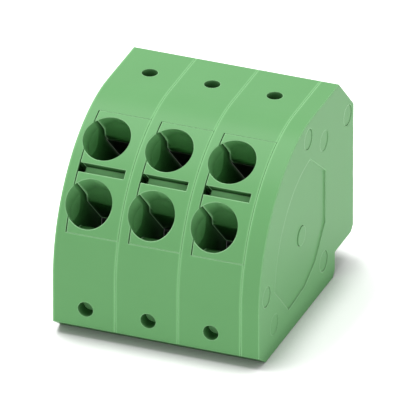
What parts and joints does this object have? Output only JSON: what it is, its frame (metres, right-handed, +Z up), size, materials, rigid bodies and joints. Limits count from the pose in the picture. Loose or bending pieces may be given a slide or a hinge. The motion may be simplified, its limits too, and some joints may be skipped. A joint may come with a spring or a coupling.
{
  "type": "pcb plug connector",
  "caption": "Pluggable circuit-board connector made of stacked slices, with paired angled wire entries, recessed release slots and test openings on each pole.",
  "frame": {"origin": "centre of the bounding box in plan, on the surface the block stands on", "axes": "+X along the row of poles, +Y from the wire side to the mating side, +Z up"},
  "size_m": [0.0168, 0.02, 0.0161],
  "materials": {
    "green_plastic": "fine satin, as moulded",
    "spring_steel": "bright rolled strip",
    "tinned_copper": "tin plated",
    "contact_alloy": "rolled strip"
  },
  "bodies": {
    "housing": {"pole_housing_1": "green_plastic", "wire_guide_1": "green_plastic", "clamp_spring_upper_1": "spring_steel", "clamp_spring_lower_1": "spring_steel", "current_bar_1": "tinned_copper", "socket_contact_1": "contact_alloy", "pole_housing_2": "green_plastic", "wire_guide_2": "green_plastic", "clamp_spring_upper_2": "spring_steel", "clamp_spring_lower_2": "spring_steel", "current_bar_2": "tinned_copper", "socket_contact_2": "contact_alloy", "pole_housing_3": "green_plastic", "wire_guide_3": "green_plastic", "clamp_spring_upper_3": "spring_steel", "clamp_spring_lower_3": "spring_steel", "current_bar_3": "tinned_copper", "socket_contact_3": "contact_alloy", "end_plate": "green_plastic"},
    "plunger_1": {"release_plunger_1": "green_plastic"},
    "plunger_2": {"release_plunger_2": "green_plastic"},
    "plunger_3": {"release_plunger_3": "green_plastic"}
  },
  "joints": [
    {"name": "release_1", "type": "slide", "parent": "housing", "child": "plunger_1", "axis": [0, 0.7071, -0.7071], "range_m": [0, 0.0008], "stiffness_N_per_m": 800, "deforming": ["clamp_spring_upper_1", "clamp_spring_lower_1"]},
    {"name": "release_2", "type": "slide", "parent": "housing", "child": "plunger_2", "axis": [0, 0.7071, -0.7071], "range_m": [0, 0.0008], "stiffness_N_per_m": 800, "deforming": ["clamp_spring_upper_2", "clamp_spring_lower_2"]},
    {"name": "release_3", "type": "slide", "parent": "housing", "child": "plunger_3", "axis": [0, 0.7071, -0.7071], "range_m": [0, 0.0008], "stiffness_N_per_m": 800, "deforming": ["clamp_spring_upper_3", "clamp_spring_lower_3"]}
  ]
}
